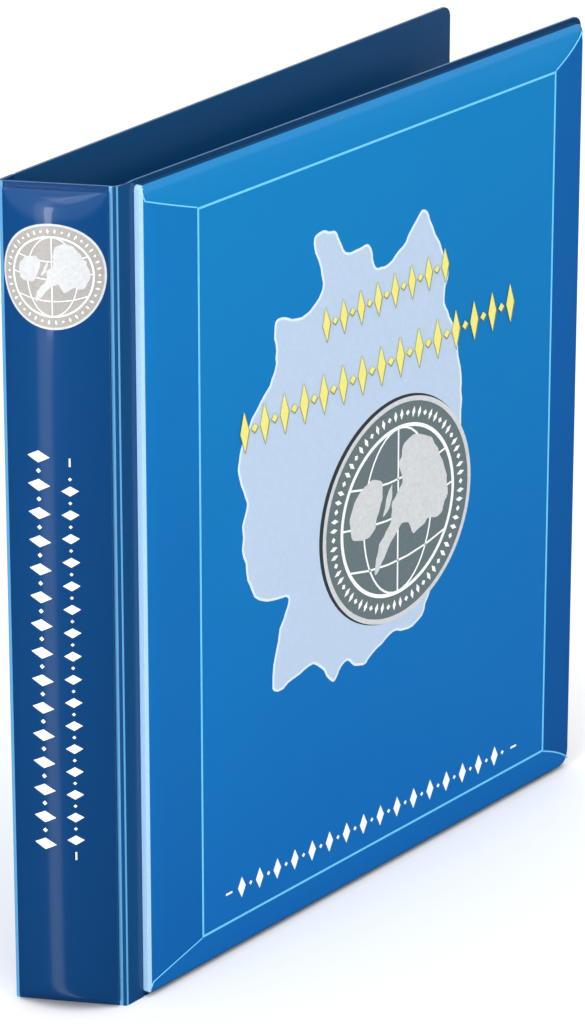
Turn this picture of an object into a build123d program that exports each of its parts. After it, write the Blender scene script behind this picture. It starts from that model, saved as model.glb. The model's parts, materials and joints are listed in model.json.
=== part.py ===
from build123d import *
from math import asin, cos, radians, sin, sqrt, tan
import os

# Coin album: two padded covers and a rounded spine, welded from sheet vinyl over board, with a
# four-ring mechanism riveted to the rear cover and five coin pages threaded on its rings.
# X runs from the spine to the fore-edge, Y from the front cover to the rear cover, Z up.
# The origin is at the middle of the footprint, on the surface that the album stands on.

# Driving dimensions, millimetres and degrees
album_height = 280.0
cover_length = 228.7        # one cover panel, without its hinge strip
spine_width = 33.0          # the spine panel between its two hinge strips
spine_bulge = 6.0           # how far the padded spine stands out of its chord
spine_strip = 2.35          # soft vinyl strip between a hinge axis and the spine panel
spine_lean = 30.2           # the spine's lean from square to the front cover, at rest
rear_splay = 2.35           # how far the rear cover fans away from the front one, at rest
cover_strip = 8.0           # soft vinyl strip between a hinge axis and its cover panel
hinge_gap = 0.25            # beyond the mitre, from each strip's end to the next one

# Layers of a panel, from the inside out
liner_thickness = 0.5
board_thickness = 2.0
pad_rise = 1.6
print_thickness = 0.2
film_thickness = 0.35
strip_thickness = 0.9
rim_width = 1.6             # welded edge outside the board
rim_radius = 4.0
board_radius = 2.5
margin_spine = 25.0         # sloping margins around the raised field of a cover
margin_fore = 18.5
margin_top = 14.5
margin_bottom = 12.5

# Ring mechanism
ring_offset = 38.0          # from the rear hinge axis to the middle of the rings
wire_radius = 1.4
ring_foot = 2.0             # lowest point of the wire's middle above the rear liner
ring_front_gap = 4.0        # from the top of the rings to the front liner, when closed
ring_count = 4
ring_inset = 4.5            # from the end of the housing to the first ring
ring_tip_gap = 0.2
housing_width = 25.0
housing_height = 7.0
housing_thickness = 0.8
housing_inset = 38.0        # from the album's edge to the end of the arched housing
foot_length = 18.0          # flat foot past each end of the arched housing
foot_overlap = 6.0
blade_width = 8.05
blade_thickness = 1.2
blade_height = 2.0          # underside of the blades above the rear liner
blade_gap = 0.3             # between the two blades
blade_end_gap = 1.0
slot_inner_room = 1.6       # room for the wire to swing in its slot in the housing
slot_outer_room = 1.3
slot_clearance = 0.4
ear_inset = 4.5             # lever axis beyond the end of the arch
ear_width = 6.0
ear_height = 6.5
ear_thickness = 1.0
pin_height = 4.2
pin_radius = 1.0
pin_overhang = 0.8
pin_clearance = 0.05
lever_side_gap = 0.4
lever_knuckle = 1.9
lever_thickness = 1.2
lever_length = 11.0
lever_tilt = 25.0
tongue_length = 3.0
rivet_inset = 6.0           # from the outer end of the foot
rivet_radius = 1.6
rivet_head_radius = 4.0
rivet_head_height = 1.0
rivet_head_taper = 35.0
rivet_clearance = 0.05
rivet_sink = 0.1            # the outer heads lie this far below the padded face

# Coin pages
page_count = 5
page_pitch = 2.4
page_floor_gap = 0.55       # from the levers' finger plates to the last page
page_fore_gap = 9.2         # from the pages' outer edge to the covers' outer edge
page_end_gap = 17.0         # from the pages' ends to the covers' ends
foil_thickness = 1.5
card_thickness = 0.4
foil_skin = 0.3
pocket_columns = 4
pocket_rows = 5
pocket_gap = 4.0            # weld between pockets
binding_margin = 18.0
page_edge = 3.0
slit_height = 1.5
slit_inset = 1.0
hole_edge = 9.0             # from a page's bound edge to the wire
hole_side_room = 1.4        # room for the wire in its slotted hole: to the sides,
hole_inner_room = 1.2       # towards the bound edge
hole_outer_room = 4.8       # and away from it

# Worked-out sizes
board_top = liner_thickness + board_thickness
face_rise = print_thickness + film_thickness
field_height = board_top + face_rise + pad_rise
lean = radians(spine_lean)
splay = radians(rear_splay)
hinge_span = spine_width + 2 * spine_strip
front_reach = cover_strip + cover_length
front_relief = strip_thickness / tan(radians(90 + spine_lean) / 2) + hinge_gap
rear_relief = strip_thickness / tan(radians(90 - spine_lean + rear_splay) / 2) + hinge_gap
arc_base = board_top - strip_thickness
arc_radius = (spine_width**2 / 4 + spine_bulge**2) / (2 * spine_bulge)
arc_centre = arc_base + spine_bulge - arc_radius
arc_half_angle = asin(spine_width / 2 / arc_radius)

# Footprint, measured from the front hinge axis
rear_axis_x = -hinge_span * sin(lean)
rear_axis_y = hinge_span * cos(lean)
arc_turn = min(lean, arc_half_angle)
arc_out = arc_centre + arc_radius * cos(arc_turn)
spine_left = rear_axis_x / 2 - arc_radius * sin(arc_turn) * sin(lean) - arc_out * cos(lean)
front_face = strip_thickness - field_height
field_end = (front_reach - margin_fore) * sin(splay) + (field_height - strip_thickness) * cos(splay)
edge_end = (front_reach - rim_width) * sin(splay) + (board_top + face_rise - strip_thickness) * cos(splay)
rear_face = rear_axis_y + max(field_end, edge_end)
front_axis = Vector(-(spine_left + front_reach) / 2, -(front_face + rear_face) / 2, 0)
rear_axis = front_axis + Vector(rear_axis_x, rear_axis_y, 0)

# Directions and working planes. A cover plane lies on the inner face of its liner with its normal
# pointing out of the album, so along_front and along_rear give the sign of a distance from the hinge.
fore_direction = Vector(cos(splay), sin(splay), 0)
inward = Vector(sin(splay), -cos(splay), 0)
front_plane = Plane(front_axis + Vector(0, strip_thickness, 0), x_dir=(1, 0, 0), z_dir=(0, -1, 0))
rear_plane = Plane(rear_axis + inward * strip_thickness, x_dir=-fore_direction, z_dir=-inward)
along_front = 1
along_rear = -1
spine_direction = Vector(-sin(lean), cos(lean), 0)
spine_plane = Plane((front_axis + rear_axis) * 0.5, x_dir=spine_direction, z_dir=(0, 0, 1))
mechanism_origin = rear_plane.origin + fore_direction * ring_offset
ring_room = (mechanism_origin.Y - front_plane.origin.Y) / cos(splay)
ring_radius = (ring_room - ring_foot - wire_radius - ring_front_gap) / 2
ring_centre_height = ring_foot + ring_radius
mechanism_plane = Plane(mechanism_origin, x_dir=-fore_direction, z_dir=(0, 0, 1))
side_plane = Plane(mechanism_origin, x_dir=inward, z_dir=-fore_direction)
page_plane = Plane(mechanism_origin + inward * ring_centre_height, x_dir=fore_direction, z_dir=inward)

housing_length = album_height - 2 * housing_inset
housing_bottom = housing_inset
housing_top = housing_bottom + housing_length
ring_pitch = (housing_length - 2 * ring_inset) / (ring_count - 1)
ring_heights = [album_height / 2 + (i - (ring_count - 1) / 2) * ring_pitch for i in range(ring_count)]
rivet_heights = [housing_bottom - foot_length + rivet_inset, housing_top + foot_length - rivet_inset]
lever_heights = [housing_bottom - ear_inset, housing_top + ear_inset]
blade_top = blade_height + blade_thickness
blade_edge = blade_gap / 2 + blade_width
ear_place = lever_knuckle * 3
housing_radius = (housing_width**2 / 4 + housing_height**2) / (2 * housing_height)
housing_centre = housing_height - housing_radius
tilt = radians(lever_tilt)
lever_top = pin_height + lever_length * sin(tilt) + lever_thickness / 2 * cos(tilt)
page_thickness = foil_thickness + card_thickness
stack_height = (page_count - 1) * page_pitch + page_thickness
page_lift = lever_top + page_floor_gap + stack_height / 2 - ring_centre_height
page_width = front_reach - ring_offset - ring_radius + hole_edge - page_fore_gap
page_height = album_height - 2 * page_end_gap
hole_height = 2 * (wire_radius + hole_side_room)
hole_inner = wire_radius + hole_inner_room
hole_outer = wire_radius + hole_outer_room

os.makedirs("parts", exist_ok=True)


def save(piece, name):
    piece.part.label = name
    export_step(piece.part, f"parts/{name}.step")


def panel_rectangle(along, near, far, low, high):
    """A rectangle on a cover plane, between two distances from the hinge axis and two heights."""
    with Locations((along * (near + far) / 2, (low + high) / 2)):
        Rectangle(far - near, high - low)


def panel_outline(outline, along, near, radius):
    """The outline of a vinyl sheet, with its two fore-edge corners rounded."""
    panel_rectangle(along, near, front_reach, 0, album_height)
    fore_corners = outline.vertices().group_by(Axis.X)[-1 if along > 0 else 0]
    fillet(fore_corners, radius)


def board_rectangle(along, grow):
    """The board's outline, grown on every side."""
    near = cover_strip + film_thickness - grow
    far = front_reach - rim_width - film_thickness + grow
    low = rim_width + film_thickness - grow
    high = album_height - low
    with Locations((along * (near + far) / 2, (low + high) / 2)):
        RectangleRounded(far - near, high - low, board_radius + grow)


def field_rectangle(along):
    """The raised flat field of a cover."""
    near = cover_strip + margin_spine
    far = front_reach - margin_fore
    high = album_height - margin_top
    with Locations((along * (near + far) / 2, (margin_bottom + high) / 2)):
        RectangleRounded(far - near, high - margin_bottom, board_radius / 2)


def padded_block(plane, along, grow, base, lift, mode=Mode.ADD):
    """Everything from the height base up to the pad's face, lifted: upright sides, then sloping margins."""
    shoulder = board_top + lift
    with BuildSketch(plane.offset(base)) as foot:
        board_rectangle(along, grow)
    extrude(foot.sketch, amount=shoulder - base, mode=mode)
    with BuildSketch(plane.offset(shoulder)) as margin:
        board_rectangle(along, grow)
    with BuildSketch(plane.offset(shoulder + pad_rise)) as field:
        field_rectangle(along)
    loft([margin.sketch, field.sketch], ruled=True, mode=mode)


def rivet_holes(plane, along):
    """Holes for the two rivets, through whatever is on the rear cover, sunk for their outer heads."""
    sink_bottom = field_height - rivet_sink - rivet_head_height
    for start, radius in ((0, rivet_radius), (sink_bottom, rivet_head_radius)):
        with BuildSketch(plane.offset(start)) as holes:
            with Locations([(along * ring_offset, height) for height in rivet_heights]):
                Circle(radius + rivet_clearance)
        extrude(holes.sketch, amount=2 * field_height, mode=Mode.SUBTRACT)


def wire_crossing(wire, shell):
    """How far from the housing's middle a circle round the rings' centre meets one round its arch."""
    span = ring_centre_height - housing_centre
    drop = (span**2 + wire**2 - shell**2) / (2 * span)
    return sqrt(wire**2 - drop**2)


def make_cover(side, plane, along, relief, riveted):
    """One cover: liner, board, pad, printed sheet, clear film and hinge strip."""
    with BuildPart() as liner:
        with BuildSketch(plane) as outline:
            panel_outline(outline, along, cover_strip, rim_radius)
        extrude(amount=liner_thickness)
        if riveted:
            rivet_holes(plane, along)
    save(liner, f"{side}_liner")

    with BuildPart() as board:
        with BuildSketch(plane.offset(liner_thickness)):
            board_rectangle(along, 0)
        extrude(amount=board_thickness)
        if riveted:
            rivet_holes(plane, along)
    save(board, f"{side}_board")

    with BuildPart() as pad:
        with BuildSketch(plane.offset(board_top)):
            board_rectangle(along, 0)
        with BuildSketch(plane.offset(board_top + pad_rise)):
            field_rectangle(along)
        loft(ruled=True)
        if riveted:
            rivet_holes(plane, along)
    save(pad, f"{side}_pad")

    with BuildPart() as sheet:
        padded_block(plane, along, 0, board_top, print_thickness)
        add(pad.part, mode=Mode.SUBTRACT)
        if riveted:
            rivet_holes(plane, along)
    save(sheet, f"{side}_print")

    with BuildPart() as film:
        with BuildSketch(plane.offset(liner_thickness)) as outline:
            panel_outline(outline, along, cover_strip, rim_radius)
        extrude(amount=film_thickness)
        padded_block(plane, along, film_thickness, liner_thickness, face_rise)
        padded_block(plane, along, 0, liner_thickness, print_thickness, Mode.SUBTRACT)
        if riveted:
            rivet_holes(plane, along)
    save(film, f"{side}_film")

    with BuildPart() as strip:
        with BuildSketch(plane):
            panel_rectangle(along, relief, cover_strip, 0, album_height)
        extrude(amount=strip_thickness)
    save(strip, f"{side}_hinge_strip")


def spine_segment(radius, width, mode=Mode.ADD):
    """The rounded part of the spine's section, above the board."""
    with BuildSketch(Plane.XY, mode=Mode.PRIVATE) as segment:
        with Locations((0, arc_centre)):
            Circle(radius)
        with Locations((0, arc_base + spine_bulge / 2)):
            Rectangle(width, spine_bulge, mode=Mode.INTERSECT)
    add(segment.sketch_local, mode=mode)


def spine_slab(width, low, high, mode=Mode.ADD):
    """A flat layer of the spine's section, between two heights above the liner's inner face."""
    with Locations((0, (low + high) / 2 - strip_thickness)):
        Rectangle(width, high - low, mode=mode)


def make_spine():
    """The spine panel, which has the covers' layers with a rounded pad."""
    inner_width = spine_width - 2 * film_thickness
    inner_end = rim_width + film_thickness
    inner_height = album_height - 2 * inner_end
    print_radius = arc_radius - film_thickness
    pad_radius = print_radius - print_thickness

    with BuildPart() as liner:
        with BuildSketch(spine_plane):
            spine_slab(spine_width, 0, liner_thickness)
        extrude(amount=album_height)
    save(liner, "spine_liner")

    with BuildPart() as board:
        with BuildSketch(spine_plane.offset(inner_end)):
            spine_slab(inner_width, liner_thickness, board_top)
        extrude(amount=inner_height)
    save(board, "spine_board")

    with BuildPart() as pad:
        with BuildSketch(spine_plane.offset(inner_end)):
            spine_segment(pad_radius, inner_width)
        extrude(amount=inner_height)
    save(pad, "spine_pad")

    with BuildPart() as sheet:
        with BuildSketch(spine_plane.offset(inner_end)):
            spine_segment(print_radius, inner_width)
            spine_segment(pad_radius, inner_width, Mode.SUBTRACT)
        extrude(amount=inner_height)
    save(sheet, "spine_print")

    with BuildPart() as film:
        with BuildSketch(spine_plane):
            spine_slab(spine_width, liner_thickness, liner_thickness + film_thickness)
        extrude(amount=album_height)
        with BuildSketch(spine_plane.offset(rim_width)):
            spine_slab(spine_width, liner_thickness, board_top)
            spine_segment(arc_radius, spine_width)
        extrude(amount=album_height - 2 * rim_width)
        with BuildSketch(spine_plane.offset(inner_end)):
            spine_slab(inner_width, liner_thickness, board_top)
            spine_segment(print_radius, inner_width)
        extrude(amount=inner_height, mode=Mode.SUBTRACT)
    save(film, "spine_film")

    strips = (("spine_front_hinge_strip", -1, front_relief), ("spine_rear_hinge_strip", 1, rear_relief))
    for name, end, relief in strips:
        strip_width = (hinge_span - spine_width) / 2 - relief
        with BuildPart() as strip:
            with BuildSketch(spine_plane):
                with Locations((end * (spine_width + strip_width) / 2, -strip_thickness / 2)):
                    Rectangle(strip_width, strip_thickness)
            extrude(amount=album_height)
        save(strip, name)


def make_housing():
    """The arched steel housing, its two flat feet, lever ears and wire slots."""
    with BuildPart() as housing:
        with BuildSketch(mechanism_plane.offset(housing_bottom)):
            with Locations((0, housing_centre)):
                Circle(housing_radius)
                Circle(housing_radius - housing_thickness, mode=Mode.SUBTRACT)
            with Locations((0, housing_height / 2)):
                Rectangle(housing_width, housing_height, mode=Mode.INTERSECT)
        extrude(amount=housing_length)
        foot_width = housing_width - 2 * housing_thickness
        for start in (housing_bottom - foot_length, housing_top - foot_overlap):
            with BuildSketch(mechanism_plane.offset(start)):
                with Locations((0, housing_thickness / 2)):
                    Rectangle(foot_width, housing_thickness)
            extrude(amount=foot_length + foot_overlap)
        for height in lever_heights:
            with BuildSketch(mechanism_plane.offset(height - ear_width / 2)):
                for side in (-1, 1):
                    with Locations((side * (ear_place + ear_thickness / 2), ear_height / 2)):
                        Rectangle(ear_thickness, ear_height)
            extrude(amount=ear_width)
        with BuildSketch(side_plane):
            with Locations([(pin_height, height) for height in lever_heights]):
                Circle(pin_radius)
        extrude(amount=housing_width, both=True, mode=Mode.SUBTRACT)
        inner_shell = housing_radius - housing_thickness
        slot_inner = wire_crossing(ring_radius - wire_radius, housing_radius) - slot_inner_room
        slot_outer = wire_crossing(ring_radius + wire_radius, inner_shell) + slot_outer_room
        slot_middle = (slot_inner + slot_outer) / 2
        slot_width = 2 * (wire_radius + slot_clearance)
        for height in ring_heights:
            with BuildSketch(mechanism_plane.offset(height - slot_width / 2)):
                for side in (-1, 1):
                    with Locations((side * slot_middle, housing_height / 2 + housing_thickness)):
                        Rectangle(slot_outer - slot_inner, housing_height)
            extrude(amount=slot_width, mode=Mode.SUBTRACT)
        with BuildSketch(Plane(mechanism_origin, x_dir=-fore_direction, z_dir=-inward)):
            with Locations([(0, height) for height in rivet_heights]):
                Circle(rivet_radius + rivet_clearance)
        extrude(amount=-2 * housing_thickness, mode=Mode.SUBTRACT)
    save(housing, "ring_housing")


def make_rivet(name, height):
    """A rivet from the housing's foot through the rear cover, with a flat head at each end."""
    head_plane = rear_plane.offset(-housing_thickness - rivet_head_height)
    place = (along_rear * ring_offset, height)
    with BuildPart() as rivet:
        with BuildSketch(head_plane):
            with Locations(place):
                Circle(rivet_head_radius)
        extrude(amount=rivet_head_height)
        with BuildSketch(head_plane):
            with Locations(place):
                Circle(rivet_radius)
        extrude(amount=rivet_head_height + housing_thickness + field_height - rivet_sink - rivet_head_height)
        with BuildSketch(rear_plane.offset(field_height - rivet_sink - rivet_head_height)):
            with Locations(place):
                Circle(rivet_head_radius)
        extrude(amount=rivet_head_height, taper=rivet_head_taper)
    save(rivet, name)


def make_lever(name, height, outward):
    """A trigger lever: knuckle on its pin, finger plate outwards, short tongue inwards."""
    half_width = ear_place - lever_side_gap
    plate_reach = lever_length / 2
    with BuildPart() as lever:
        with BuildSketch(side_plane):
            with Locations((pin_height, height)):
                Circle(lever_knuckle)
            plate_middle = (pin_height + plate_reach * sin(tilt), height + outward * plate_reach * cos(tilt))
            with Locations(Location((*plate_middle, 0), (0, 0, -outward * lever_tilt))):
                Rectangle(lever_thickness, lever_length)
            with Locations((pin_height, height - outward * tongue_length / 2)):
                Rectangle(lever_thickness, tongue_length)
            with Locations((pin_height, height)):
                Circle(pin_radius + pin_clearance, mode=Mode.SUBTRACT)
        extrude(amount=half_width, both=True)
    save(lever, name)


def make_pin(name, height):
    """A lever's pin, fixed in the two ears."""
    with BuildPart() as pin:
        with BuildSketch(side_plane):
            with Locations((pin_height, height)):
                Circle(pin_radius)
        extrude(amount=ear_place + ear_thickness + pin_overhang, both=True)
    save(pin, name)


def make_rail(side, direction):
    """One blade of the mechanism and its half rings; direction is 1 on the spine's side."""
    with BuildPart() as blade:
        with BuildSketch(mechanism_plane.offset(housing_bottom + blade_end_gap)):
            with Locations((direction * (blade_gap + blade_width) / 2, blade_height + blade_thickness / 2)):
                Rectangle(blade_width, blade_thickness)
        extrude(amount=housing_length - 2 * blade_end_gap)
    save(blade, f"{side}_ring_blade")

    ring_top = ring_centre_height + ring_radius + 2 * wire_radius
    for number, height in enumerate(ring_heights, 1):
        with BuildPart() as half_ring:
            with Locations(mechanism_plane.offset(height).location * Location((0, ring_centre_height, 0))):
                Torus(ring_radius, wire_radius)
            with BuildSketch(mechanism_plane.offset(height - 2 * wire_radius)):
                half_width = ring_radius + 2 * wire_radius
                middle = (direction * (ring_tip_gap + half_width) / 2, (blade_top + ring_top) / 2)
                with Locations(middle):
                    Rectangle(half_width, ring_top - blade_top)
            extrude(amount=4 * wire_radius, mode=Mode.INTERSECT)
        save(half_ring, f"{side}_half_ring_{number}")


def page_sheet(level, thickness, bound_edge, wire_place):
    """A page-sized sheet with a slotted hole for each ring."""
    with BuildSketch(page_plane.offset(level)) as sheet:
        with Locations((bound_edge + page_width / 2, album_height / 2)):
            Rectangle(page_width, page_height)
        hole_middle = wire_place + (hole_outer - hole_inner) / 2
        with Locations([(hole_middle, height) for height in ring_heights]):
            SlotOverall(hole_inner + hole_outer, hole_height, mode=Mode.SUBTRACT)
    extrude(sheet.sketch, amount=thickness)


def make_page(number):
    """One page: a welded foil with open pockets, and the card behind it."""
    level = page_lift + ((page_count + 1) / 2 - number) * page_pitch
    back = level - page_thickness / 2
    wire_place = sqrt(ring_radius**2 - level**2)
    bound_edge = wire_place - hole_edge
    column_pitch = (page_width - binding_margin - page_edge) / pocket_columns
    row_pitch = (page_height - 2 * page_edge) / pocket_rows
    pocket_width = column_pitch - pocket_gap
    pocket_height = row_pitch - pocket_gap
    grid_middle = bound_edge + (page_width + binding_margin - page_edge) / 2

    with BuildPart() as card:
        page_sheet(back, card_thickness, bound_edge, wire_place)
    save(card, f"page_{number}_card")

    foil_back = back + card_thickness
    with BuildPart() as foil:
        page_sheet(foil_back, foil_thickness, bound_edge, wire_place)
        with BuildSketch(page_plane.offset(foil_back + foil_skin)):
            with Locations((grid_middle, album_height / 2)):
                with GridLocations(column_pitch, row_pitch, pocket_columns, pocket_rows):
                    Rectangle(pocket_width, pocket_height)
        extrude(amount=foil_thickness - 2 * foil_skin, mode=Mode.SUBTRACT)
        slit_rise = (pocket_height - slit_height) / 2 - slit_inset
        with BuildSketch(page_plane.offset(foil_back + foil_thickness - foil_skin)):
            with Locations((grid_middle, album_height / 2 + slit_rise)):
                with GridLocations(column_pitch, row_pitch, pocket_columns, pocket_rows):
                    Rectangle(pocket_width, slit_height)
        extrude(amount=foil_skin, mode=Mode.SUBTRACT)
    save(foil, f"page_{number}_foil")


make_cover("front", front_plane, along_front, front_relief, riveted=False)
make_cover("rear", rear_plane, along_rear, rear_relief, riveted=True)
make_spine()
make_housing()
make_rivet("lower_rivet", rivet_heights[0])
make_rivet("upper_rivet", rivet_heights[1])
make_pin("lower_lever_pin", lever_heights[0])
make_pin("upper_lever_pin", lever_heights[1])
make_lever("lower_lever", lever_heights[0], -1)
make_lever("upper_lever", lever_heights[1], 1)
make_rail("spine_side", 1)
make_rail("fore_side", -1)
for page_number in range(1, page_count + 1):
    make_page(page_number)
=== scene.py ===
import bmesh
import bpy
import json
import math
from mathutils import Matrix, Vector, noise


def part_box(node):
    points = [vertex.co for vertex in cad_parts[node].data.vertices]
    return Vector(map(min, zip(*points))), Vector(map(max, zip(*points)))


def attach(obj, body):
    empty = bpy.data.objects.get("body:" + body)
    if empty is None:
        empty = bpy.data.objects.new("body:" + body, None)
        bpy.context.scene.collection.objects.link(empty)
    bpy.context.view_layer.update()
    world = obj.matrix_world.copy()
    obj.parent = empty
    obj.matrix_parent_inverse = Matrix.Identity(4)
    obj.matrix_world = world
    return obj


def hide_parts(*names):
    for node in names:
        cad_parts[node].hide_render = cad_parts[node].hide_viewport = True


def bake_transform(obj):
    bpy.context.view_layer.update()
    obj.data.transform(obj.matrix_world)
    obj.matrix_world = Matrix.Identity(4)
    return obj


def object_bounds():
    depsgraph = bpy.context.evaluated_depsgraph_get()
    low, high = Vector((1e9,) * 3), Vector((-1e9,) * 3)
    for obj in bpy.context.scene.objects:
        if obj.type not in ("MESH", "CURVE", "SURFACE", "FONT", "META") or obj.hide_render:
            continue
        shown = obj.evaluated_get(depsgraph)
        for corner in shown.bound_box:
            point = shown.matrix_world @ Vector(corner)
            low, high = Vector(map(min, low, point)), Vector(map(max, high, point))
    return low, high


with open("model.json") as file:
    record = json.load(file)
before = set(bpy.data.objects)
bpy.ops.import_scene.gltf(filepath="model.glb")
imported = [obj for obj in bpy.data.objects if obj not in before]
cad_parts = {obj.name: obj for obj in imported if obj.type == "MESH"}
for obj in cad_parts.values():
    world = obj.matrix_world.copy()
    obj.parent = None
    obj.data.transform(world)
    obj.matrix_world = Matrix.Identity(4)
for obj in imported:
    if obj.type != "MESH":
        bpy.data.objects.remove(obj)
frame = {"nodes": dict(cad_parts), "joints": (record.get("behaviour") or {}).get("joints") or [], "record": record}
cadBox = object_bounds()
mm = 0.001


# Shared helpers: selecting, applying, placing

def clearSelection():
    for other in bpy.context.selected_objects:
        other.select_set(False)


def makeActive(piece):
    clearSelection()
    piece.select_set(True)
    bpy.context.view_layer.objects.active = piece


def newest(name):
    piece = bpy.context.active_object
    piece.name = name
    piece.data.name = name
    return piece


def selectParts(piece, kind, test):
    mesh = bmesh.from_edit_mesh(piece.data)
    bpy.ops.mesh.select_all(action="DESELECT")
    mesh.select_mode = {kind}
    for part in {"VERT": mesh.verts, "EDGE": mesh.edges, "FACE": mesh.faces}[kind]:
        part.select_set(test(part))
    mesh.select_flush_mode()
    bmesh.update_edit_mesh(piece.data)


def applyModifier(piece, kind, **settings):
    makeActive(piece)
    modifier = piece.modifiers.new(kind.title(), kind)
    for key, value in settings.items():
        setattr(modifier, key, value)
    bpy.ops.object.modifier_apply(modifier=modifier.name)


def cleanNormals(piece):
    weld = 0.00001
    makeActive(piece)
    bpy.ops.object.mode_set(mode="EDIT")
    bpy.ops.mesh.select_all(action="SELECT")
    bpy.ops.mesh.remove_doubles(threshold=weld)
    bpy.ops.mesh.normals_make_consistent(inside=False)
    bpy.ops.object.mode_set(mode="OBJECT")


def smooth(piece, degrees):
    makeActive(piece)
    bpy.ops.object.shade_smooth_by_angle(angle=math.radians(degrees))


def place(piece, space):
    makeActive(piece)
    piece.matrix_world = space @ piece.matrix_world
    bpy.ops.object.transform_apply(location=True, rotation=True, scale=True)


def joinPieces(pieces, name):
    clearSelection()
    for piece in pieces:
        piece.select_set(True)
    bpy.context.view_layer.objects.active = pieces[0]
    if len(pieces) > 1:
        bpy.ops.object.join()
    return newest(name)


# Where the panels lie. Each panel space has x from its left hinge axis, y up (down on the rear
# cover) and z outwards from the inner face of the liner.

joints = {joint["name"]: joint for joint in frame["joints"]}
mounts = {mount["name"]: mount for mount in frame["record"]["mounts"]}
albumHeight = cadBox[1].z
frontAxis = Vector(joints["front_cover_hinge"]["pos_m"])
rearAxis = Vector(joints["spine_hinge"]["pos_m"])
frontAxis.z = rearAxis.z = 0
rearOut = Vector(mounts["rear_face"]["axis"])
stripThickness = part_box("front_hinge_strip")[1].y - frontAxis.y
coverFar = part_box("front_liner")[1].x - frontAxis.x
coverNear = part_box("front_liner")[0].x - frontAxis.x
spineSpan = (frontAxis - rearAxis).length
upwards = Vector((0, 0, 1))


def panelSpace(corner, along, up):
    out = along.cross(up).normalized()
    turn = Matrix((along, up, out)).transposed().to_4x4().normalized()
    return Matrix.Translation(corner - out * stripThickness) @ turn


foreDirection = Vector((rearOut.y, -rearOut.x, 0))
spineAcross = (frontAxis - rearAxis).normalized()
frontSpace = panelSpace(frontAxis, Vector((1, 0, 0)), upwards)
rearSpace = panelSpace(rearAxis + upwards * albumHeight, foreDirection, -upwards)
spineSpace = panelSpace(rearAxis, spineAcross, upwards)
print("frame read")


# Camera, lights and floor

cameraView = {
    "azimuth": -50.2,
    "elevation": 20.2,
    "distance": 1.606,
    "lens": 169.7,
    "rise": 0.0599,                 # along the camera's own upright
    "shift": -0.195,
}
studio = {
    "world": 0.95,
    "floor": "#F4F5F6",
    "reach": 6.0,
    "room": 0.03,                   # the world's strength below the horizon
    "horizonFrom": -0.22,           # heights of a direction between which room fades into world
    "horizonTo": 0.02,
    "stripBearing": 186.0,          # where the upright soft light stands, degrees from the x axis
    "stripWidth": 13.0,
    "stripPower": 1.6,
}


def toLinear(code):
    channels = [int(code[i:i + 2], 16) / 255 for i in (1, 3, 5)]
    return [c / 12.92 if c <= 0.04045 else ((c + 0.055) / 1.055) ** 2.4 for c in channels] + [1.0]


def addNode(tree, kind, settings=None, links=None):
    node = tree.nodes.new(kind)
    for key, value in (settings or {}).items():
        if isinstance(key, int) or key in node.inputs:
            node.inputs[key].default_value = value
        else:
            setattr(node, key, value)
    for key, output in (links or {}).items():
        tree.links.new(output, node.inputs[key])
    return node


def newMaterial(name):
    material = bpy.data.materials.new(name)
    material.use_nodes = True
    tree = material.node_tree
    tree.nodes.clear()
    return material, tree


def addNoise(tree, place, scale, detail):
    settings = {"Scale": scale, "Detail": detail}
    return addNode(tree, "ShaderNodeTexNoise", settings, {"Vector": place.outputs["Object"]})


def addBump(tree, pattern, strength, distance):
    settings = {"Strength": strength, "Distance": distance}
    return addNode(tree, "ShaderNodeBump", settings, {"Height": pattern.outputs["Fac"]})


def addTone(tree, level, darker, colour):
    settings = {"data_type": "RGBA", 6: toLinear(darker), 7: toLinear(colour)}
    return addNode(tree, "ShaderNodeMix", settings, {0: level})


def finishMaterial(tree, settings, links):
    shader = addNode(tree, "ShaderNodeBsdfPrincipled", settings, links)
    addNode(tree, "ShaderNodeOutputMaterial", None, {"Surface": shader.outputs["BSDF"]})


def makeCamera():
    view = cameraView
    azimuth, elevation = math.radians(view["azimuth"]), math.radians(view["elevation"])
    level = math.cos(elevation)
    back = Vector((math.sin(azimuth) * level, -math.cos(azimuth) * level, math.sin(elevation)))
    side = Vector((math.cos(azimuth), math.sin(azimuth), 0))
    centre = (cadBox[0] + cadBox[1]) / 2
    data = bpy.data.cameras.new("camera")
    camera = bpy.data.objects.new("camera", data)
    bpy.context.scene.collection.objects.link(camera)
    data.lens = view["lens"]
    data.sensor_width = 36
    data.shift_y = view["shift"]
    camera.location = centre + back * view["distance"] + back.cross(side) * view["rise"]
    camera.rotation_euler = (-back).to_track_quat("-Z", "Y").to_euler()
    bpy.context.scene.camera = camera


def addLamp(name, place, aim, width, height, power):
    data = bpy.data.lights.new(name, "AREA")
    data.shape = "RECTANGLE"
    data.size = width
    data.size_y = height
    data.energy = power
    lamp = bpy.data.objects.new(name, data)
    bpy.context.scene.collection.objects.link(lamp)
    lamp.location = place
    lamp.rotation_euler = (Vector(aim) - Vector(place)).to_track_quat("-Z", "Y").to_euler()


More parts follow.
